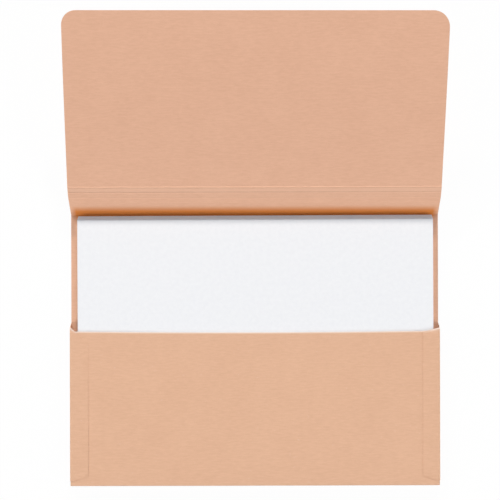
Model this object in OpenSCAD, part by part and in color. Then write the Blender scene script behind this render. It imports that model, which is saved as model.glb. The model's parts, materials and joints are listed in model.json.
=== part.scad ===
// Card document wallet: a back panel with a half-height glued pocket, a scored spine that expands,
// a flap that folds over the pocket, and the loose sheets that it holds.
// It lies on its back with the flap open. +X is right, +Y points to the flap, +Z is up from the back.
// The origin is the centre of the back panel's underside.

/* [Sheets] */
// Width of a sheet, across the pocket
sheet_w = 297; // [250:1:360]
// Height of a sheet
sheet_h = 210; // [160:1:260]
// Thickness of one sheet
sheet_t = 0.1; // [0.08:0.01:0.2]
// Number of loose sheets
sheet_count = 52; // [2:1:90]
// Air between two loose sheets
sheet_air = 0.025; // [0.01:0.005:0.05]
// How far the sheets lie to the right of the middle
sheet_shift = 0.6; // [0:0.1:2]
// How far the sheets are turned in the pocket, in degrees
sheet_turn = 0.1; // [0:0.05:0.4]
// How far a sheet's edge strays from the pile
sheet_stray = 0.4; // [0:0.1:0.6]
// How far the pile is fanned: the top sheet lies this much nearer the bottom fold than the lowest one
sheet_fan = 4; // [0:0.5:6]

/* [Card] */
// Thickness of the card
card_t = 0.4; // [0.3:0.05:0.6]
// Running gap round a crease
crease_gap = 0.14; // [0.13:0.01:0.2]

/* [Pocket] */
// Room beside the sheets, on each side
side_room = 5.75; // [4:0.25:15]
// Room between the lowest sheet and the spine's root crease
top_room = 1.2; // [1:0.1:10]
// Room between the lowest sheet and the bottom fold
bottom_room = 15.2; // [10:0.1:30]
// Free depth left over the sheets
pocket_room = 0.5; // [0.3:0.1:15]
// Height of the front panel, from the bottom fold to the mouth
pocket_h = 128.5; // [90:0.5:150]
// Gap between the front panel's side edge and the side wall
front_gap = 0.3; // [0.1:0.1:1]

/* [Glue tabs] */
// Width of the left tab, from the side fold to its free edge
left_tab_w = 15; // [10:0.5:30]
// Width of the right tab
right_tab_w = 14; // [10:0.5:30]
// Height of the left tab's upper end over the mouth, at the side fold
left_tab_rise = 4; // [2:0.1:8]
// Height of the right tab's upper end over the mouth, at the side fold
right_tab_rise = 3.1; // [2:0.1:8]
// Slope of the left tab's upper end, in degrees
left_tab_angle = 42; // [10:1:45]
// Slope of the right tab's upper end, in degrees
right_tab_angle = 15; // [10:1:45]
// Slope of a side wall's upper end, in degrees
wall_end_angle = 22; // [10:1:45]
// Height of a tab's lower end over the bottom fold, at the side fold
tab_foot = 4; // [3:0.5:10]
// Slope of a tab's lower end and of the wall's, in degrees
tab_foot_angle = 16; // [5:1:30]
// Thickness of the glue
glue_t = 0.05; // [0.03:0.01:0.1]
// Bare margin between the glue and a tab's edges
glue_margin = 2; // [1:0.5:4]

/* [Spine] */
// Distance between two score lines
score_pitch = 5.15; // [4:0.05:8]
// Slope of the spine as it stands open, in degrees
spine_angle = 49; // [20:1:60]

/* [Flap] */
// Length of the flap, from its crease to its free edge
flap_h = 143.2; // [100:0.1:180]
// Radius of the flap's corners
flap_corner_r = 11; // [4:0.5:25]
// Slope of the flap as it stands open, in degrees
flap_angle = 16; // [0:1:19]

/* [Hidden] */

$fn = 48;
card_colour = [0.89, 0.71, 0.59];
sheet_colour = [0.95, 0.95, 0.96];
glue_colour = [0.93, 0.89, 0.78];

// The six strips of the spine, and the last creases, which share the bend back to the flap
strip_count = 6;
bent_creases = 3;
bend_step = (spine_angle - flap_angle) / bent_creases;

// The wallet is cut to fit its sheets
card_w = sheet_w + 2 * side_room;
back_h = sheet_h + top_room + bottom_room;
bottom_y = -back_h / 2;
root_y = back_h / 2;
mouth_y = bottom_y + pocket_h;

// Heights over the resting face, layer by layer
sheet_pitch = sheet_t + sheet_air;
pocket_depth = sheet_count * sheet_pitch + pocket_room;
front_z = card_t + pocket_depth;
glue_z = front_z + card_t;
tab_z = glue_z + glue_t;
bottom_wall_h = glue_z;
side_wall_h = tab_z + card_t;

// A crease is a round bead on one panel's edge, which the next panel's hollow edge turns on
bead_r = card_t / 2;
socket_r = bead_r + crease_gap;

// Side fold, and the lower end of a glue tab there
fold_x = card_w / 2;
tab_foot_y = bottom_y + tab_foot;

// Successive sheets of a loose pile stray in directions that never line up
stray_turn = 137.5;

// Corners of a tab's free edge
function tab_edge_x(width) = fold_x - width;
function tab_edge_top_y(width, rise, angle) = mouth_y + rise - width * tan(angle);
function tab_edge_foot_y(width) = tab_foot_y + width * tan(tab_foot_angle);

// Slope of strip i, counted from 1 at the root; the flap comes after the last strip
function strip_angle(i) = spine_angle - bend_step * max(0, i - 1 - strip_count + bent_creases);

// Place of the crease that strip i turns on
function crease_y(i) = i == 1 ? root_y : crease_y(i - 1) + score_pitch * cos(strip_angle(i - 1));
function crease_z(i) = i == 1 ? bead_r : crease_z(i - 1) + score_pitch * sin(strip_angle(i - 1));

// Rod along a crease, as long as the card is wide and a little over for a cut
module crease_rod(r, over = 0) {
    rotate([0, 90, 0])
        cylinder(r = r, h = card_w + 2 * over, center = true);
}

// Flat panel that runs from y = 0 to its far edge, which carries the bead of the next crease
module leaf(reach) {
    translate([-card_w / 2, 0, -bead_r])
        cube([card_w, reach, card_t]);
    translate([0, reach, 0])
        crease_rod(bead_r);
}

// Stands children on crease i at their slope and hollows their edge round its bead
module on_crease(i) {
    translate([0, crease_y(i), crease_z(i)])
        rotate([strip_angle(i), 0, 0])
            difference() {
                children();
                crease_rod(socket_r, card_t);
            }
}

// Section of a folded wall: inner face on x = 0, its two outer edges rounded by the folds
module wall_section(height) {
    translate([0, card_t])
        square([card_t, height - 2 * card_t]);
    for (y = [card_t, height - card_t])
        translate([0, y])
            intersection() {
                circle(card_t);
                translate([0, -card_t])
                    square([card_t, 2 * card_t]);
            }
}

module back_panel() {
    color(card_colour)
        translate([0, bottom_y, bead_r])
            leaf(back_h);
}

module bottom_wall() {
    color(card_colour)
        translate([card_w / 2, bottom_y, 0])
            rotate([90, 0, -90])
                linear_extrude(card_w)
                    wall_section(bottom_wall_h);
}

module front_panel() {
    front_w = card_w - 2 * front_gap;
    color(card_colour)
        translate([-front_w / 2, bottom_y, front_z])
            cube([front_w, pocket_h, card_t]);
}

// Wall, tab and glue of the right side; those of the left are mirrored, with sizes of their own
module side_wall(rise) {
    tab_top_y = mouth_y + rise;
    top_y = tab_top_y + side_wall_h * tan(wall_end_angle);
    foot_y = tab_foot_y - side_wall_h * tan(tab_foot_angle);
    color(card_colour)
        intersection() {
            translate([fold_x, top_y, 0])
                rotate([90, 0, 0])
                    linear_extrude(top_y - foot_y)
                        wall_section(side_wall_h);
            translate([fold_x, 0, 0])
                rotate([90, 0, 90])
                    linear_extrude(card_t)
                        polygon([
                            [foot_y, 0], [top_y, 0],
                            [tab_top_y, side_wall_h], [tab_foot_y, side_wall_h]
                        ]);
        }
}

module glue_tab(width, rise, angle) {
    color(card_colour)
        translate([0, 0, tab_z])
            linear_extrude(card_t)
                polygon([
                    [fold_x, tab_foot_y], [fold_x, mouth_y + rise],
                    [tab_edge_x(width), tab_edge_top_y(width, rise, angle)],
                    [tab_edge_x(width), tab_edge_foot_y(width)]
                ]);
}

module glue_seam(width, rise, angle) {
    seam_w = width - 2 * glue_margin;
    seam_y = tab_edge_foot_y(width) + glue_margin;
    seam_h = min(tab_edge_top_y(width, rise, angle), mouth_y) - glue_margin - seam_y;
    color(glue_colour)
        translate([tab_edge_x(width) + glue_margin, seam_y, glue_z])
            cube([seam_w, seam_h, glue_t]);
}

module right_side_wall() {
    side_wall(right_tab_rise);
}

module left_side_wall() {
    mirror([1, 0, 0])
        side_wall(left_tab_rise);
}

module right_glue_tab() {
    glue_tab(right_tab_w, right_tab_rise, right_tab_angle);
}

module left_glue_tab() {
    mirror([1, 0, 0])
        glue_tab(left_tab_w, left_tab_rise, left_tab_angle);
}

module right_glue_seam() {
    glue_seam(right_tab_w, right_tab_rise, right_tab_angle);
}

module left_glue_seam() {
    mirror([1, 0, 0])
        glue_seam(left_tab_w, left_tab_rise, left_tab_angle);
}

module spine_strip(i) {
    color(card_colour)
        on_crease(i)
            leaf(score_pitch);
}

module flap() {
    corner_x = card_w / 2 - flap_corner_r;
    corner_y = flap_h - flap_corner_r;
    color(card_colour)
        on_crease(strip_count + 1)
            translate([0, 0, -bead_r])
                linear_extrude(card_t) {
                    translate([-card_w / 2, 0])
                        square([card_w, corner_y]);
                    translate([-corner_x, 0])
                        square([2 * corner_x, flap_h]);
                    for (x = [-corner_x, corner_x])
                        translate([x, corner_y])
                            circle(flap_corner_r);
                }
}

module loose_sheets() {
    pile_y = bottom_y + bottom_room + sheet_h / 2;
    fan_step = sheet_fan / (sheet_count - 1);
    color(sheet_colour)
        translate([sheet_shift, pile_y, card_t + sheet_air])
            rotate([0, 0, sheet_turn])
                for (i = [0 : sheet_count - 1])
                    translate([
                        sheet_stray * cos(stray_turn * i) - sheet_w / 2,
                        sheet_stray * sin(stray_turn * i) - fan_step * i - sheet_h / 2,
                        sheet_pitch * i
                    ])
                        cube([sheet_w, sheet_h, sheet_t]);
}

back_panel();
bottom_wall();
front_panel();
left_side_wall();
right_side_wall();
left_glue_tab();
right_glue_tab();
left_glue_seam();
right_glue_seam();
spine_strip(1);  // spine_strip_1
spine_strip(2);  // spine_strip_2
spine_strip(3);  // spine_strip_3
spine_strip(4);  // spine_strip_4
spine_strip(5);  // spine_strip_5
spine_strip(6);  // spine_strip_6
flap();
loose_sheets();
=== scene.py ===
import json
import math

import bpy
import numpy as np
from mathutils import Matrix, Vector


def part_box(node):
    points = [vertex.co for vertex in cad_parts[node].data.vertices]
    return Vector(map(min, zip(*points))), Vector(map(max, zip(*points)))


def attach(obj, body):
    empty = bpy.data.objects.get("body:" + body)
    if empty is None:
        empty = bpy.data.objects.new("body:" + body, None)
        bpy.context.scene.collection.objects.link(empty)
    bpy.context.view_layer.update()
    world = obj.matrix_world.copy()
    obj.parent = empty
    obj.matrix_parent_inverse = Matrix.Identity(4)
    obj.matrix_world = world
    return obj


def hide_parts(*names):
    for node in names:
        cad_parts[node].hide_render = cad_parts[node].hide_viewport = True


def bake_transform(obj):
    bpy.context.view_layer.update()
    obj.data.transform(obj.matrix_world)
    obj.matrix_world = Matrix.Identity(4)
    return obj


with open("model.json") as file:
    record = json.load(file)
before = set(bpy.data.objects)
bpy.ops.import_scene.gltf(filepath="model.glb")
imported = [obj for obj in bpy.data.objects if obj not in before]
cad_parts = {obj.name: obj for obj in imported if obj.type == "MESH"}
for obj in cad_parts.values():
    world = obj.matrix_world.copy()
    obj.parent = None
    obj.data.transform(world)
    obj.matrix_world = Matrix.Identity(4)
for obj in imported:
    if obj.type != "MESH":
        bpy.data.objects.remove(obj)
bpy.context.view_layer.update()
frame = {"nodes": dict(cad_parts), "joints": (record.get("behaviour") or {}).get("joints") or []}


# Pocket card: the back panel, the bottom wall turned up from it and the half-height front
# panel turned over it. It is one sheet of 0.4 mm peach manilla card, die cut, scored and
# folded, so the folds are round, and the open front sags a little and is hollow at its edge.
mm = 0.001
card_thickness = 0.4 * mm
card_half_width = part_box("back_panel")[1].x
fold_radius = 0.9 * mm
row_length = 6 * mm
close_rows = np.array((0, 0.5, 1, 1.5, 2.2, 3)) * mm
turn_step = math.radians(12)
columns = 65
sharp_angle = math.radians(40)
ripple_height = 0.10 * mm
ripple_size = 70 * mm
front_sag = 0.4 * mm
mouth_reach = 0.4 * mm
mouth_hollow = 1.15 * mm
# Painted highlight along the front panel's lip at the mouth, over this reach.
mouth_highlight_reach = 1.3 * mm
crease_half = 1.2 * mm
# Painted shade in the root crease: its reach on the back panel, and its fade at the side ends.
root_painted_shade_reach = 5 * mm
painted_shade_side_margin = 2.2 * mm


class Wire:
    """An output of a node tree. Arithmetic on it adds Math nodes, and node() adds any other node."""

    def __init__(self, tree, socket=None):
        self.tree = tree
        self.socket = socket

    def __getitem__(self, name):
        return Wire(self.tree, self.socket.node.outputs[name])

    def node(self, kind, settings=None, inputs=None):
        made = self.tree.nodes.new(kind)
        for name, value in (settings or {}).items():
            setattr(made, name, value)
        for name, value in (inputs or {}).items():
            if isinstance(value, Wire):
                self.tree.links.new(value.socket, made.inputs[name])
            else:
                made.inputs[name].default_value = value
        shown = [socket for socket in made.outputs if socket.enabled]
        return Wire(self.tree, shown[0] if shown else None)

    def math(self, operation, first, second=0.0):
        return self.node("ShaderNodeMath", {"operation": operation}, {0: first, 1: second})

    def __add__(self, other):
        return self.math("ADD", self, other)

    def __radd__(self, other):
        return self.math("ADD", other, self)

    def __sub__(self, other):
        return self.math("SUBTRACT", self, other)

    def __rsub__(self, other):
        return self.math("SUBTRACT", other, self)

    def __mul__(self, other):
        return self.math("MULTIPLY", self, other)

    def __rmul__(self, other):
        return self.math("MULTIPLY", other, self)

    def __truediv__(self, other):
        return self.math("DIVIDE", self, other)

    def __rtruediv__(self, other):
        return self.math("DIVIDE", other, self)

    def __mod__(self, other):
        return self.math("MODULO", self, other)


def linear(red, green, blue):
    """A colour written in screen values from 0 to 255, as the linear colour that a shader takes."""
    shares = [value / 255 for value in (red, green, blue)]
    return tuple(s / 12.92 if s <= 0.04045 else ((s + 0.055) / 1.055) ** 2.4 for s in shares) + (1.0,)


def start_material(name):
    material = bpy.data.materials.new(name)
    material.use_nodes = True
    material.node_tree.nodes.clear()
    return material, Wire(material.node_tree)


def noise(pen, place, scale, detail, roughness=0.5):
    inputs = {"Vector": place, "Scale": scale, "Detail": detail, "Roughness": roughness}
    return pen.node("ShaderNodeTexNoise", {}, inputs)


def fibre_noise(pen, place, along, across, detail, roughness=0.5):
    """Noise that is drawn out across the wallet, the way the card's fibres lie."""
    drawn_out = pen.node("ShaderNodeMapping", {}, {"Vector": place, "Scale": (along, across, across)})
    return noise(pen, drawn_out, 1.0, detail, roughness)


def share_between(pen, value, low, high, most=1.0):
    """From 0 where the value is low, to most where it is high."""
    inputs = {"Value": value, "From Min": low, "From Max": high, "To Max": most}
    return pen.node("ShaderNodeMapRange", {}, inputs)


def mix_colour(pen, share, first, second):
    """The first colour with a share of the second. The Mix node's colours are its sockets 6 and 7."""
    return pen.node("ShaderNodeMix", {"data_type": "RGBA"}, {0: share, 6: first, 7: second})


def finish_material(pen, colour, roughness, shine, relief, strength, depth):
    bump = pen.node("ShaderNodeBump", {}, {"Strength": strength, "Distance": depth, "Height": relief})
    skin = pen.node(
        "ShaderNodeBsdfPrincipled",
        {},
        {"Base Color": colour, "Roughness": roughness, "Specular IOR Level": shine, "Normal": bump},
    )
    pen.node("ShaderNodeOutputMaterial", {}, {"Surface": skin})


# Painted shade: a dark orange tone laid into the root crease and the lowest spine strips, where the crevice
# is in shadow.
painted_crease_shade_colour = linear(213, 129, 60)
# Pale tones for the card's outside and inside. They show wear, and they are also painted light: a painted
# highlight on the mouth's lip and the score beads, and painted light on the top spine strip and the shaded
# corners at the mouth.
rubbed_wear_and_painted_light_colour = linear(252, 235, 223)
folded_wear_and_painted_light_colour = linear(253, 204, 173)


def card_stock(name, dark, pale, wear_and_painted_light_colour):
    """Manilla card: cloudy dye, streaks of fibre across the wallet, a few flecks and a dull, pressed skin,
    paler for wear and for painted light, and with painted shade in the root crease.
    """
    material, pen = start_material(name)
    place = pen.node("ShaderNodeTexCoord")["Object"]
    cloud = noise(pen, place, scale=45.0, detail=4.0, roughness=0.6)
    felt = noise(pen, place, scale=1400.0, detail=2.0)
    grain = fibre_noise(pen, place, along=700.0, across=2600.0, detail=3.0, roughness=0.65)
    streak = fibre_noise(pen, place, along=160.0, across=800.0, detail=3.0)
    speck = fibre_noise(pen, place, along=260.0, across=420.0, detail=5.0)
    mottle = cloud * 0.2 + streak * 0.4 + grain * 0.25 + felt * 0.15
    dyed = mix_colour(pen, share_between(pen, mottle, 0.39, 0.61), dark, pale)
    flecked = mix_colour(pen, share_between(pen, speck, 0.66, 0.74, most=0.1), dyed, wear_and_painted_light_colour)
    # Paler card for wear and for painted light.
    worn = pen.node("ShaderNodeAttribute", {"attribute_name": "worn"})["Fac"]
    handled_and_painted_light = mix_colour(pen, worn * (0.75 + grain * 0.5), flecked, wear_and_painted_light_colour)
    # Painted shade: the dark crease tone, where the root crevice is in shadow.
    steeped = pen.node("ShaderNodeAttribute", {"attribute_name": "steeped"})["Fac"]
    finish_material(
        pen,
        colour=mix_colour(pen, steeped * (0.85 + felt * 0.3), handled_and_painted_light, painted_crease_shade_colour),
        roughness=0.74 + 0.14 * felt,
        shine=0.25,
        relief=grain * 0.6 + felt * 0.4,
        strength=0.25,
        depth=0.06 * mm,
    )
    return material


card_inside = card_stock("card inside", linear(229, 178, 148), linear(237, 187, 157), folded_wear_and_painted_light_colour)
card_outside = card_stock("card outside", linear(222, 176, 145), linear(230, 185, 154), rubbed_wear_and_painted_light_colour)
card_cut = card_stock("card cut edge", linear(228, 193, 169), linear(243, 219, 202), rubbed_wear_and_painted_light_colour)

# Geometry Nodes lay the card along a path: one row of points for each point of the path, from its
# low to its high edge. The path's values raise and hollow the middle and slew the row, and all of
# the card is rippled.
card_tree = bpy.data.node_groups.new("card along a path", "GeometryNodeTree")
for label, kind in (
    ("Path", "NodeSocketGeometry"),
    ("Across", "NodeSocketVector"),
    ("Columns", "NodeSocketInt"),
    ("Ripple height", "NodeSocketFloat"),
    ("Ripple size", "NodeSocketFloat"),
    ("Card", "NodeSocketMaterial"),
):
    card_tree.interface.new_socket(label, in_out="INPUT", socket_type=kind)
card_tree.interface.new_socket("Folded card", in_out="OUTPUT", socket_type="NodeSocketGeometry")
given = Wire(card_tree).node("NodeGroupInput")
path_size = given.node("GeometryNodeAttributeDomainSize", {"component": "MESH"}, {"Geometry": given["Path"]})
row_count = path_size["Point Count"]
grid = given.node("GeometryNodeMeshGrid", {}, {"Vertices X": given["Columns"], "Vertices Y": row_count})
point = given.node("GeometryNodeInputIndex")
row = point % row_count
share = (point - row) / row_count / (given["Columns"] - 1)


def from_path(kind, value):
    settings = {"data_type": kind, "domain": "POINT"}
    inputs = {"Geometry": given["Path"], "Value": value, "Index": row}
    return given.node("GeometryNodeSampleIndex", settings, inputs)


def path_value(label):
    named = given.node("GeometryNodeInputNamedAttribute", {"data_type": "FLOAT"}, {"Name": label})
    return from_path("FLOAT", named)


def vector_sum(first, second):
    return given.node("ShaderNodeVectorMath", {"operation": "ADD"}, {0: first, 1: second})


def vector_scale(vector, amount):
    return given.node("ShaderNodeVectorMath", {"operation": "SCALE"}, {0: vector, "Scale": amount})


low, high = path_value("low"), path_value("high")
offside = share * 2 - 1
middle = 1 - offside * offside
lift = path_value("rise") * middle * middle
drop = path_value("hollow") * middle + path_value("slew") * offside
crossing = vector_scale(given["Across"], low + (high - low) * share)
shaped = given.node("ShaderNodeCombineXYZ", {}, {"Y": drop * -1, "Z": lift})
path_spot = from_path("FLOAT_VECTOR", given.node("GeometryNodeInputPosition"))
spot = vector_sum(vector_sum(path_spot, crossing), shaped)
marked = given.node("GeometryNodeSetPosition", {}, {"Geometry": grid, "Position": spot})
# The card carries its shares of wear with painted light, and of painted shade, to its material.
for label in ("worn", "steeped"):
    marked = given.node(
        "GeometryNodeStoreNamedAttribute",
        {"data_type": "FLOAT", "domain": "POINT"},
        {"Geometry": marked, "Name": label, "Value": path_value(label)},
    )
swell = noise(given, given.node("GeometryNodeInputPosition"), scale=1 / given["Ripple size"], detail=0.0)
ripple = vector_scale(given.node("GeometryNodeInputNormal"), (swell * 2 - 1) * given["Ripple height"])
rippled = given.node("GeometryNodeSetPosition", {}, {"Geometry": marked, "Offset": ripple})
whole = given.node("GeometryNodeRealizeInstances", {}, {"Geometry": rippled})
faced = given.node("GeometryNodeSetMaterial", {}, {"Geometry": whole, "Material": given["Card"]})
given.node("NodeGroupOutput", {}, {"Folded card": faced})


def set_inputs(modifier, values):
    for socket in modifier.node_group.interface.items_tree:
        if socket.item_type == "SOCKET" and socket.name in values:
            modifier[socket.identifier] = values[socket.name]


def make_plain(piece):
    """The piece's modifiers become its own mesh, smooth with sharp cut edges."""
    graph = bpy.context.evaluated_depsgraph_get()
    shaped_piece = piece.evaluated_get(graph)
    mesh = bpy.data.meshes.new_from_object(shaped_piece, preserve_all_data_layers=True, depsgraph=graph)
    drawn = piece.data
    piece.modifiers.clear()
    piece.data = mesh
    bpy.data.meshes.remove(drawn)
    mesh.name = piece.name
    mesh.shade_smooth()
    mesh.set_sharp_from_angle(angle=sharp_angle)
    return mesh


def lay_card(name, path, across, low, high, outer_wear=1.0, **along):
    """A solid card piece along a path, which is in the plane square to the across direction. The values
    along it are rise, hollow and slew, and for its colour the share of wear with painted light and the share
    of painted shade. Its outside gets the wear and painted light by the share outer_wear and no painted
    shade."""
    along_y = across == "x"
    points = [(0, u, z) if along_y else (u, 0, z) for u, z in path]
    drawn = bpy.data.meshes.new(name)
    drawn.from_pydata(points, [(k, k + 1) for k in range(len(points) - 1)], [])
    along = {"low": low, "high": high, **along}
    for label in ("low", "high", "rise", "hollow", "slew", "worn", "steeped"):
        values = np.broadcast_to(along.get(label, 0.0), len(points))
        drawn.attributes.new(label, "FLOAT", "POINT").data.foreach_set("value", values.astype(np.float32))
    piece = bpy.data.objects.new(name, drawn)
    bpy.context.scene.collection.objects.link(piece)
    laying = piece.modifiers.new("lay", "NODES")
    laying.node_group = card_tree
    set_inputs(
        laying,
        {
            "Across": (1.0, 0.0, 0.0) if along_y else (0.0, 1.0, 0.0),
            "Columns": columns,
            "Ripple height": ripple_height,
            "Ripple size": ripple_size,
            "Card": card_inside,
        },
    )
    thickening = piece.modifiers.new("thickness", "SOLIDIFY")
    thickening.thickness = card_thickness
    thickening.offset = 0
    thickening.use_even_offset = True
    mesh = make_plain(piece)
    mesh.materials.clear()
    for stock in (card_inside, card_outside, card_cut):
        mesh.materials.append(stock)
    # The inside's points and faces come first, then the outside's, and the faces of the cut edge last.
    inside_points = len(points) * columns
    inside_faces = (len(points) - 1) * (columns - 1)
    sides = np.minimum(np.arange(len(mesh.polygons)) // inside_faces, 2)
    mesh.polygons.foreach_set("material_index", sides.astype(np.int32))
    spots = np.zeros(len(mesh.vertices) * 3, np.float32)
    mesh.vertices.foreach_get("co", spots)
    # Painted shade fades out within a few millimetres of the card's side ends, where light gets into the
    # crevice.
    painted_shade_side_share = ((card_half_width - np.abs(spots[::3])) / painted_shade_side_margin).clip(0, 1)
    for label, inner, outer in (("worn", 1.0, outer_wear), ("steeped", painted_shade_side_share, 0.0)):
        marks = np.zeros(len(mesh.vertices), np.float32)
        mesh.attributes[label].data.foreach_get("value", marks)
        marks *= np.where(np.arange(len(marks)) < inside_points, inner, outer)
        mesh.attributes[label].data.foreach_set("value", marks)
    return piece


def whole_steps(length, step):
    """The number of steps in a length. A rounding error doesn't add one."""
    rounding = 1e-3
    return math.ceil(length / step - rounding)


def fold_path(corners, radius, row):
    """The middle line of folded card: flat runs in rows, with each corner turned on the radius."""
    corners = [np.array(corner, float) for corner in corners]
    path = [corners[0]]

    def run_to(end):
        start = path[-1]
        count = whole_steps(np.linalg.norm(end - start), row)
        path.extend(start + (end - start) * k / count for k in range(1, count + 1))

    for before, corner, after in zip(corners, corners[1:], corners[2:]):
        arriving = (corner - before) / np.linalg.norm(corner - before)
        leaving = (after - corner) / np.linalg.norm(after - corner)
        turn = math.atan2(arriving[0] * leaving[1] - arriving[1] * leaving[0], arriving @ leaving)
        run_to(corner - arriving * radius * math.tan(abs(turn) / 2))
        inwards = math.copysign(1, turn) * np.array((-arriving[1], arriving[0]))
        centre = path[-1] + inwards * radius
        steps = whole_steps(abs(turn), turn_step)
        for k in range(1, steps + 1):
            angle = abs(turn) * k / steps
            path.append(centre + radius * (arriving * math.sin(angle) - inwards * math.cos(angle)))
    run_to(corners[-1])
    return np.array(path)


def middle_of(node, axis):
    lowest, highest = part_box(node)
    return (lowest[axis] + highest[axis]) / 2


axes = {joint["name"]: joint["pos_m"] for joint in frame["joints"] if joint["type"] == "hinge"}
mouth_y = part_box("front_panel")[1].y + mouth_reach
front_z = middle_of("front_panel", 2)
back_z = middle_of("back_panel", 2)
bottom_y = middle_of("bottom_wall", 1)
root_y = axes["root_crease"][1]
pocket_path = fold_path(
    [(mouth_y - gap, front_z) for gap in close_rows]
    + [(bottom_y, front_z), (bottom_y, back_z)]
    + [(root_y - crease_half - gap, back_z) for gap in close_rows[::-1]],
    fold_radius,
    row_length,
)
on_front = np.isclose(pocket_path[:, 1], front_z)
open_share = np.where(on_front, (pocket_path[:, 0] - bottom_y) / (mouth_y - bottom_y), 0).clip(0, 1)
# Painted highlight: the front panel is paler along its lip at the mouth, where the cut edge catches the
# light.
mouth_highlight_share = np.where(on_front, 1 - (mouth_y - pocket_path[:, 0]) / mouth_highlight_reach, 0).clip(0, 1)
# Painted shade: the back panel darkens towards the root crease, in the crevice behind the sheets.
root_painted_shade_share = np.where(on_front, 0, 1 - (root_y - pocket_path[:, 0]) / root_painted_shade_reach).clip(0, 1)
pocket_card = lay_card(
    "pocket_card",
    pocket_path,
    "x",
    -card_half_width,
    card_half_width,
    rise=-front_sag * np.sin(open_share * math.pi / 2) ** 2,
    hollow=mouth_hollow * open_share ** 4,
    worn=mouth_highlight_share,
    steeped=root_painted_shade_share,
)
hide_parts("back_panel", "bottom_wall", "front_panel")
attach(pocket_card, "pocket")


# Side folds: beside the back panel a narrow wall turns up, and its tab turns over the front panel,
# one flange of the same card. The tab is glued down and its free edge squeezed thin. Its end slopes
# more on the left and is paler above the mouth, partly wear and partly painted light on the shaded
# corner, and its foot is cut in a flat curve.
tab_fold_radius = 0.7 * mm
wall_fold_radius = 0.25 * mm
tab_top_slope = {"left": math.tan(math.radians(42)), "right": math.tan(math.radians(15))}
tab_foot_slope = math.tan(math.radians(16))
tab_foot_curve = 1.35
flange_row = 2 * mm
# Paler tab ends above the mouth: partly wear, partly painted light.
end_rub_and_light_reach = 2.5 * mm
end_rub_and_light_strength = 0.9
squeeze_depth = 0.3 * mm
squeeze_run = 3 * mm
squeeze_places = (0.0, 0.35, 0.6, 1.0)
squeeze_shares = {"left": (0.25, 0.55, 1.0, 1.0), "right": (0.3, 0.8, 0.9, 0.5)}


def distance_along(path):
    """How far each point of a path is from its start."""
    return np.concatenate([[0], np.cumsum(np.linalg.norm(np.diff(path, axis=0), axis=1))])


for side, sign in (("left", -1), ("right", 1)):
    wall, tab = side + "_side_wall", side + "_glue_tab"
    wall_foot, wall_top = [corner.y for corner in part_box(wall)]
    tab_foot, tab_top = [corner.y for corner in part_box(tab)]
    tab_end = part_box(tab)[1 if sign < 0 else 0].x
    wall_x = middle_of(wall, 0)
    tab_z = middle_of(tab, 2)
    wall_half_z = (back_z + tab_z) / 2
    root_x = wall_x - sign * wall_fold_radius
    up_corners = [(root_x, back_z), (wall_x, back_z), (wall_x, wall_half_z)]
    in_corners = [(wall_x, wall_half_z), (wall_x, tab_z), (tab_end, tab_z)]
    turned_up = fold_path(up_corners, wall_fold_radius, flange_row)
    turned_in = fold_path(in_corners, tab_fold_radius, flange_row)
    flange = np.vstack([turned_up, turned_in[1:]])
    reach = distance_along(flange)
    wall_height = tab_z - back_z
    tab_width = abs(tab_end - wall_x)
    up_wall = (reach / wall_height).clip(0, 1)
    along_tab = (reach - wall_height).clip(0) / tab_width
    foot_cut = tab_width * tab_foot_slope * along_tab ** tab_foot_curve
    foot = wall_foot + (tab_foot - wall_foot) * up_wall + foot_cut
    top = wall_top + (tab_top - wall_top) * up_wall - tab_width * tab_top_slope[side] * along_tab
    if sign > 0:
        flange, foot, top = flange[::-1], foot[::-1], top[::-1]
    side_fold = lay_card(side + "_side_fold", flange, "y", foot, top)
    spots = np.zeros(len(side_fold.data.vertices) * 3, np.float32)
    side_fold.data.vertices.foreach_get("co", spots)
    spots = spots.reshape(-1, 3)
    on_tab = (spots[:, 2] > tab_z).astype(float)
    up_tab = (spots[:, 1] - tab_foot) / (tab_top - tab_foot)
    squeezed = on_tab * np.interp(up_tab, squeeze_places, squeeze_shares[side])
    from_edge = np.abs(spots[:, 0] - tab_end)
    from_end = (np.tile(top, 2 * columns) - spots[:, 1]).clip(0)
    spots[:, 2] -= squeezed * squeeze_depth * (1 - np.minimum(from_edge, from_end) / squeeze_run).clip(0)
    side_fold.data.vertices.foreach_set("co", spots.ravel())
    # Partly wear and partly painted light: the tab's end above the mouth is made paler, which lightens the
    # shaded corner.
    over_mouth = ((spots[:, 1] - mouth_y) / end_rub_and_light_reach + 0.5).clip(0, 1)
    end_rub_and_painted_light = end_rub_and_light_strength * over_mouth * (1 - from_end / end_rub_and_light_reach).clip(0)
    side_fold.data.attributes["worn"].data.foreach_set("value", end_rub_and_painted_light.astype(np.float32))
    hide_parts(wall, tab)
    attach(side_fold, "pocket")


# Glue lines: a thin line of white paste under each tab, pressed out between tab and front panel.
# It is dry, slightly yellow and a little glossy, and only its edge can ever be seen.
glue_material, pen = start_material("dry paste")
place = pen.node("ShaderNodeTexCoord")["Object"]
smear = noise(pen, place, scale=350.0, detail=3.0)
finish_material(
    pen,
    colour=mix_colour(pen, smear, linear(226, 216, 188), linear(240, 234, 214)),
    roughness=0.3 + 0.2 * smear,
    shine=0.5,
    relief=smear,
    strength=0.3,
    depth=0.05 * mm,
)
for side in ("left", "right"):
    for painted in frame["nodes"][side + "_glue_seam"].material_slots:
        painted.material = glue_material


# Spine: six narrow strips of the card between seven pressed score lines, so that the wallet can
# grow with its contents. Each strip is flat; the card at a score is bent, raised in a bead on
# the inside and paler along the bead, partly wear and partly a painted highlight. The top strip
# is painted lighter against its shade, and the lowest strips carry the painted shade of the root crease.
crease_names = ["root_crease", "score_1", "score_2", "score_3", "score_4", "score_5", "flap_crease"]
bend_radius = 1.0 * mm
strip_row = 1.0 * mm
score_row = 0.15 * mm
bead_half = 0.55 * mm
bead_height = [height * mm for height in (0.0, 0.05, 0.05, 0.07, 0.11, 0.15, 0.18)]
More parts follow.
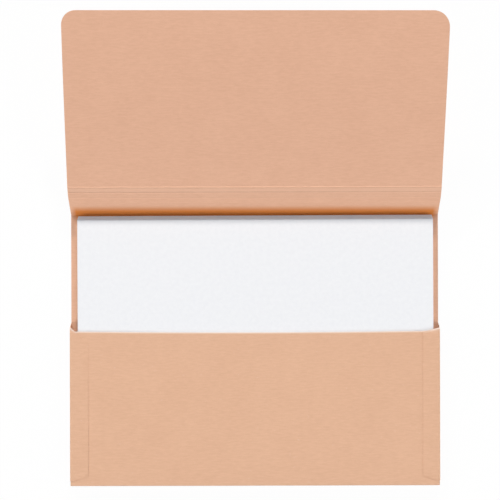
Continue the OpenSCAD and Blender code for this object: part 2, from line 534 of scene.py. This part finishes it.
# Paler beads: partly wear, partly a painted highlight.
bead_wear_and_highlight = [0.0, 0.0, 0.05, 0.1, 0.25, 0.45, 0.45]
score_outer_wear = 0.75
# Painted light: the top strips are made paler where they lie in shade.
strip_painted_light = [0.0, 0.0, 0.0, 0.0, 0.05, 0.5]
groove_out = 0.85 * mm
groove_half = 0.22 * mm
groove_share = 0.4
# Painted shade up the lowest strips: full near the root and gone higher up.
painted_shade_full = 3.5 * mm
painted_shade_end = 12.5 * mm
flap_slope = math.radians(16)
strip_bodies = [f"spine_strip_{k}" for k in range(1, len(crease_names))]
creases = [np.array(axes[name][1:3]) for name in crease_names]
flap_way = np.array((math.cos(flap_slope), math.sin(flap_slope)))
stations = [creases[0] - np.array((row_length, 0))] + creases + [creases[-1] + flap_way * row_length]
ways = [(b - a) / np.linalg.norm(b - a) for a, b in zip(stations, stations[1:])]
pitch = np.linalg.norm(creases[1] - creases[0])


def painted_shade_at(climb):
    """Share of the painted shade of the crease at a distance up the spine from its root."""
    share = ((painted_shade_end - climb) / (painted_shade_end - painted_shade_full)).clip(0, 1)
    return share * share * (3 - 2 * share)


for k, strip in enumerate(strip_bodies):
    start = creases[k] + ways[k + 1] * crease_half
    end = creases[k + 1] - ways[k + 1] * crease_half
    path = fold_path([start, end], bend_radius, strip_row)
    climb = k * pitch + np.linalg.norm(path - creases[k], axis=1)
    strip_card = lay_card(
        f"spine_card_{k + 1}",
        path,
        "x",
        -card_half_width,
        card_half_width,
        outer_wear=0.0,
        worn=strip_painted_light[k],
        steeped=painted_shade_at(climb),
    )
    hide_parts(strip)
    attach(strip_card, strip)
for k, crease in enumerate(creases):
    before = crease - ways[k] * crease_half
    after = crease + ways[k + 1] * crease_half
    path = fold_path([before, crease, after], bend_radius, score_row)
    along = distance_along(path)
    out = along - along[-1] / 2
    bead = (1 - (out / bead_half) ** 2).clip(0) ** 2
    groove = np.exp(-(((np.abs(out) - groove_out) / groove_half) ** 2))
    heading = np.gradient(path, axis=0)
    heading /= np.linalg.norm(heading, axis=1)[:, None]
    inside = np.stack([-heading[:, 1], heading[:, 0]], axis=1)
    fade = np.sin(math.pi * along / along[-1]) ** 0.5
    raised = path + inside * (bead_height[k] * (bead - groove_share * groove) * fade)[:, None]
    score = lay_card(
        f"crease_card_{k + 1}",
        raised,
        "x",
        -card_half_width,
        card_half_width,
        outer_wear=score_outer_wear,
        worn=bead_wear_and_highlight[k] * bead,
        steeped=painted_shade_at(k * pitch + out),
    )
    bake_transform(score)


# Flap: the part of the card that closes over the pocket, with two corners cut round, the right one
# more. It has been pressed back open, so it springs up in a shallow bow and drifts a little to the
# right.
flap_height = 143.2 * mm
left_corner_radius = 11.5 * mm
right_corner_radius = 13.5 * mm
corner_rows = 12
flap_bow = 1.5 * mm
flap_drift = 1.1 * mm
flap_slew = 0.4 * mm
flat_end = flap_height - right_corner_radius
flat_run = np.linspace(crease_half, flat_end, whole_steps(flat_end, row_length) + 1)
corner_turn = np.linspace(0, math.pi / 2, corner_rows + 1)[1:]
run = np.concatenate([flat_run, flat_end + right_corner_radius * np.sin(corner_turn)])


def half_width(radius):
    """Half the flap's width along its run, with a corner of this radius."""
    into_corner = (run - (flap_height - radius)).clip(0, radius)
    return card_half_width - radius + np.sqrt(radius ** 2 - into_corner ** 2)


spring = (run - crease_half) / (flap_height - crease_half)
flap_up = np.array((-flap_way[1], flap_way[0]))
bow = flap_bow * np.sin(math.pi * spring) * spring ** 0.5
flap_path = creases[-1] + run[:, None] * flap_way + bow[:, None] * flap_up
drift = flap_drift * spring
flap_left = drift - half_width(left_corner_radius)
flap_right = drift + half_width(right_corner_radius)
flap_card = lay_card("flap_card", flap_path, "x", flap_left, flap_right, slew=flap_slew * spring)
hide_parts("flap")
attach(flap_card, "flap")


# Loose sheets: a pile of white copier paper on the back panel that fills the pocket. The sheets are
# cut square and knocked up by hand, so each lies a little out of line. The pile is fanned where it
# was bent into the wallet: each sheet lies nearer the bottom fold than the one under it.
sheet_size = (297 * mm, 210 * mm)
sheet_points = (16, 12)
sheet_count = 52
sheet_thickness = 0.1 * mm
pile_low, pile_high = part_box("loose_sheets")
pile_foot = pile_low.z + ripple_height
sheet_pitch = (pile_high.z - pile_foot - sheet_thickness) / (sheet_count - 1)
sheet_fan = 3.7 * mm
lowest_sheet = (0.6 * mm, 7.3 * mm, pile_foot + sheet_thickness / 2)
pile_turn = math.radians(0.1)
sheet_stray = 0.3 * mm
sheet_stray_turn = math.radians(0.03)
stray_seed = 4

paper_material, pen = start_material("white paper")
place = pen.node("ShaderNodeTexCoord")["Object"]
fibre = noise(pen, place, scale=900.0, detail=4.0, roughness=0.6)
look_through = noise(pen, place, scale=300.0, detail=2.0)
paper_tone = share_between(pen, fibre * 0.4 + look_through * 0.6, 0.38, 0.62)
finish_material(
    pen,
    colour=mix_colour(pen, paper_tone, linear(239.2, 240.2, 243.2), linear(242.4, 243.4, 245.9)),
    roughness=0.62 + 0.12 * fibre,
    shine=0.3,
    relief=fibre,
    strength=0.15,
    depth=0.03 * mm,
)

pile_tree = bpy.data.node_groups.new("pile of sheets", "GeometryNodeTree")
for label, kind in (
    ("Geometry", "NodeSocketGeometry"),
    ("Width", "NodeSocketFloat"),
    ("Height", "NodeSocketFloat"),
    ("Count", "NodeSocketInt"),
    ("Step", "NodeSocketVector"),
    ("Stray", "NodeSocketFloat"),
    ("Stray turn", "NodeSocketFloat"),
    ("Turn", "NodeSocketFloat"),
    ("Place", "NodeSocketVector"),
    ("Seed", "NodeSocketInt"),
    ("Paper", "NodeSocketMaterial"),
):
    pile_tree.interface.new_socket(label, in_out="INPUT", socket_type=kind)
pile_tree.interface.new_socket("Pile", in_out="OUTPUT", socket_type="NodeSocketGeometry")
given = Wire(pile_tree).node("NodeGroupInput")
one_sheet = given.node(
    "GeometryNodeMeshGrid",
    {},
    {
        "Size X": given["Width"],
        "Size Y": given["Height"],
        "Vertices X": sheet_points[0],
        "Vertices Y": sheet_points[1],
    },
)
places = given.node(
    "GeometryNodeMeshLine",
    {},
    {"Count": given["Count"], "Start Location": given["Place"], "Offset": given["Step"]},
)


def stray_between(reach, seed):
    """A number of each sheet's own, up to the reach on either side of zero."""
    inputs = {"Min": -1.0, "Max": 1.0, "Seed": seed}
    return given.node("FunctionNodeRandomValue", {"data_type": "FLOAT"}, inputs) * reach


sheets = given.node("GeometryNodeInstanceOnPoints", {}, {"Points": places, "Instance": one_sheet})
turn = given["Turn"] + stray_between(given["Stray turn"], given["Seed"])
turning = given.node("ShaderNodeCombineXYZ", {}, {"Z": turn})
turned = given.node("GeometryNodeRotateInstances", {}, {"Instances": sheets, "Rotation": turning})
shift = given.node(
    "ShaderNodeCombineXYZ",
    {},
    {
        "X": stray_between(given["Stray"], given["Seed"] + 1),
        "Y": stray_between(given["Stray"], given["Seed"] + 2),
    },
)
strayed = given.node("GeometryNodeTranslateInstances", {}, {"Instances": turned, "Translation": shift})
loose = given.node("GeometryNodeRealizeInstances", {}, {"Geometry": strayed})
papered = given.node("GeometryNodeSetMaterial", {}, {"Geometry": loose, "Material": given["Paper"]})
given.node("NodeGroupOutput", {}, {"Pile": papered})

paper_pile = bpy.data.objects.new("paper_pile", bpy.data.meshes.new("paper_pile"))
bpy.context.scene.collection.objects.link(paper_pile)
piling = paper_pile.modifiers.new("pile", "NODES")
piling.node_group = pile_tree
set_inputs(
    piling,
    {
        "Width": sheet_size[0],
        "Height": sheet_size[1],
        "Count": sheet_count,
        "Step": (0.0, -sheet_fan / (sheet_count - 1), sheet_pitch),
        "Stray": sheet_stray,
        "Stray turn": sheet_stray_turn,
        "Turn": pile_turn,
        "Place": lowest_sheet,
        "Seed": stray_seed,
        "Paper": paper_material,
    },
)
leafing = paper_pile.modifiers.new("thickness", "SOLIDIFY")
leafing.thickness = sheet_thickness
leafing.offset = 0
make_plain(paper_pile)
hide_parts("loose_sheets")
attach(paper_pile, "sheets")


# Studio: a pale floor that shows white to the camera and keeps a soft shadow, an even surround,
# four soft lamps off the wallet's corners, one above it, and the camera straight overhead. The
# surround is a little cool and the lamps as much warmer, so that only shade looks cool.
floor_drop = 0.3 * mm
floor_half = 12.0
floor_white = 0.955
pale_grey = (0.95, 0.95, 0.95, 1.0)
pure_white = (1.0, 1.0, 1.0, 1.0)
surround_light = 0.27
surround_tint = (0.85, 1.0, 1.2)


def is_seen(pen):
    """1 for what the camera sees, also in gloss or through glass, and 0 for light on the wallet."""
    rays = pen.node("ShaderNodeLightPath")
    mirrored = pen.math("MAXIMUM", rays["Is Glossy Ray"], rays["Is Transmission Ray"])
    return pen.math("MAXIMUM", rays["Is Camera Ray"], mirrored)


corner_sides = ((-1, -1), (1, -1), (1, 1), (-1, 1))
floor_corners = [(x * floor_half, y * floor_half, -floor_drop) for x, y in corner_sides]
floor_mesh = bpy.data.meshes.new("floor")
floor_mesh.from_pydata(floor_corners, [], [(0, 1, 2, 3)])
floor = bpy.data.objects.new("floor", floor_mesh)
bpy.context.scene.collection.objects.link(floor)
floor_paint, pen = start_material("pale floor")
matt = pen.node("ShaderNodeBsdfDiffuse", {}, {"Color": pale_grey})
glow = pen.node("ShaderNodeEmission", {}, {"Color": pure_white, "Strength": 1.0})
shown = pen.node("ShaderNodeMixShader", {}, {0: is_seen(pen) * floor_white, 1: matt, 2: glow})
pen.node("ShaderNodeOutputMaterial", {}, {"Surface": shown})
floor_mesh.materials.append(floor_paint)

world = bpy.data.worlds.new("studio")
bpy.context.scene.world = world
world.use_nodes = True
world.node_tree.nodes.clear()
pen = Wire(world.node_tree)
even = pen.node("ShaderNodeBackground", {}, {"Color": (*surround_tint, 1.0), "Strength": surround_light})
bright = pen.node("ShaderNodeBackground", {}, {"Color": pure_white, "Strength": 1.0})
shown = pen.node("ShaderNodeMixShader", {}, {0: is_seen(pen), 1: even, 2: bright})
pen.node("ShaderNodeOutputWorld", {}, {"Surface": shown})

# A lamp's share is what it adds to the light on a level white sheet, to which the surround adds the rest.
lamps = {
    "upper left lamp": {"bearing": -22, "height": 25.2, "far": 2.6, "size": 0.2, "share": 0.155},
    "upper right lamp": {"bearing": 8, "height": 26.7, "far": 2.6, "size": 0.2, "share": 0.175},
    "lower left lamp": {"bearing": -125, "height": 24, "far": 1.8, "size": 0.9, "share": 0.155},
    "lower right lamp": {"bearing": 125, "height": 24, "far": 1.8, "size": 0.9, "share": 0.165},
    "overhead lamp": {"bearing": 0, "height": 88, "far": 2.6, "size": 0.8, "share": 0.10},
}
lamp_aim = np.array((0.0, 0.08, 0.0))
lamp_light = sum(lamp["share"] for lamp in lamps.values())
lamp_tint = [1 + surround_light * (1 - tint) / lamp_light for tint in surround_tint]
for name, lamp in lamps.items():
    bearing, height = math.radians(lamp["bearing"]), math.radians(lamp["height"])
    level = math.cos(height)
    towards = np.array((math.sin(bearing) * level, math.cos(bearing) * level, math.sin(height)))
    lamp_data = bpy.data.lights.new(name, "AREA")
    lamp_data.shape = "DISK"
    lamp_data.size = lamp["size"]
    lamp_data.color = lamp_tint
    lamp_data.energy = lamp["share"] * (math.pi * lamp["far"]) ** 2 / towards[2]
    lamp_object = bpy.data.objects.new(name, lamp_data)
    lamp_object.location = lamp_aim + towards * lamp["far"]
    lamp_object.rotation_euler = (math.pi / 2 - height, 0, math.pi - bearing)
    bpy.context.scene.collection.objects.link(lamp_object)

camera_place = (-3.85 * mm, 83.4 * mm, 1000 * mm)
camera_turn = math.radians(-0.15)
camera_data = bpy.data.cameras.new("camera")
camera_data.lens = 85.54
camera_data.sensor_width = 36
camera_data.clip_start = 0.01
camera = bpy.data.objects.new("camera", camera_data)
camera.location = camera_place
camera.rotation_euler = (0, 0, camera_turn)
bpy.context.scene.collection.objects.link(camera)
bpy.context.scene.camera = camera
bpy.context.scene.view_settings.view_transform = "Standard"
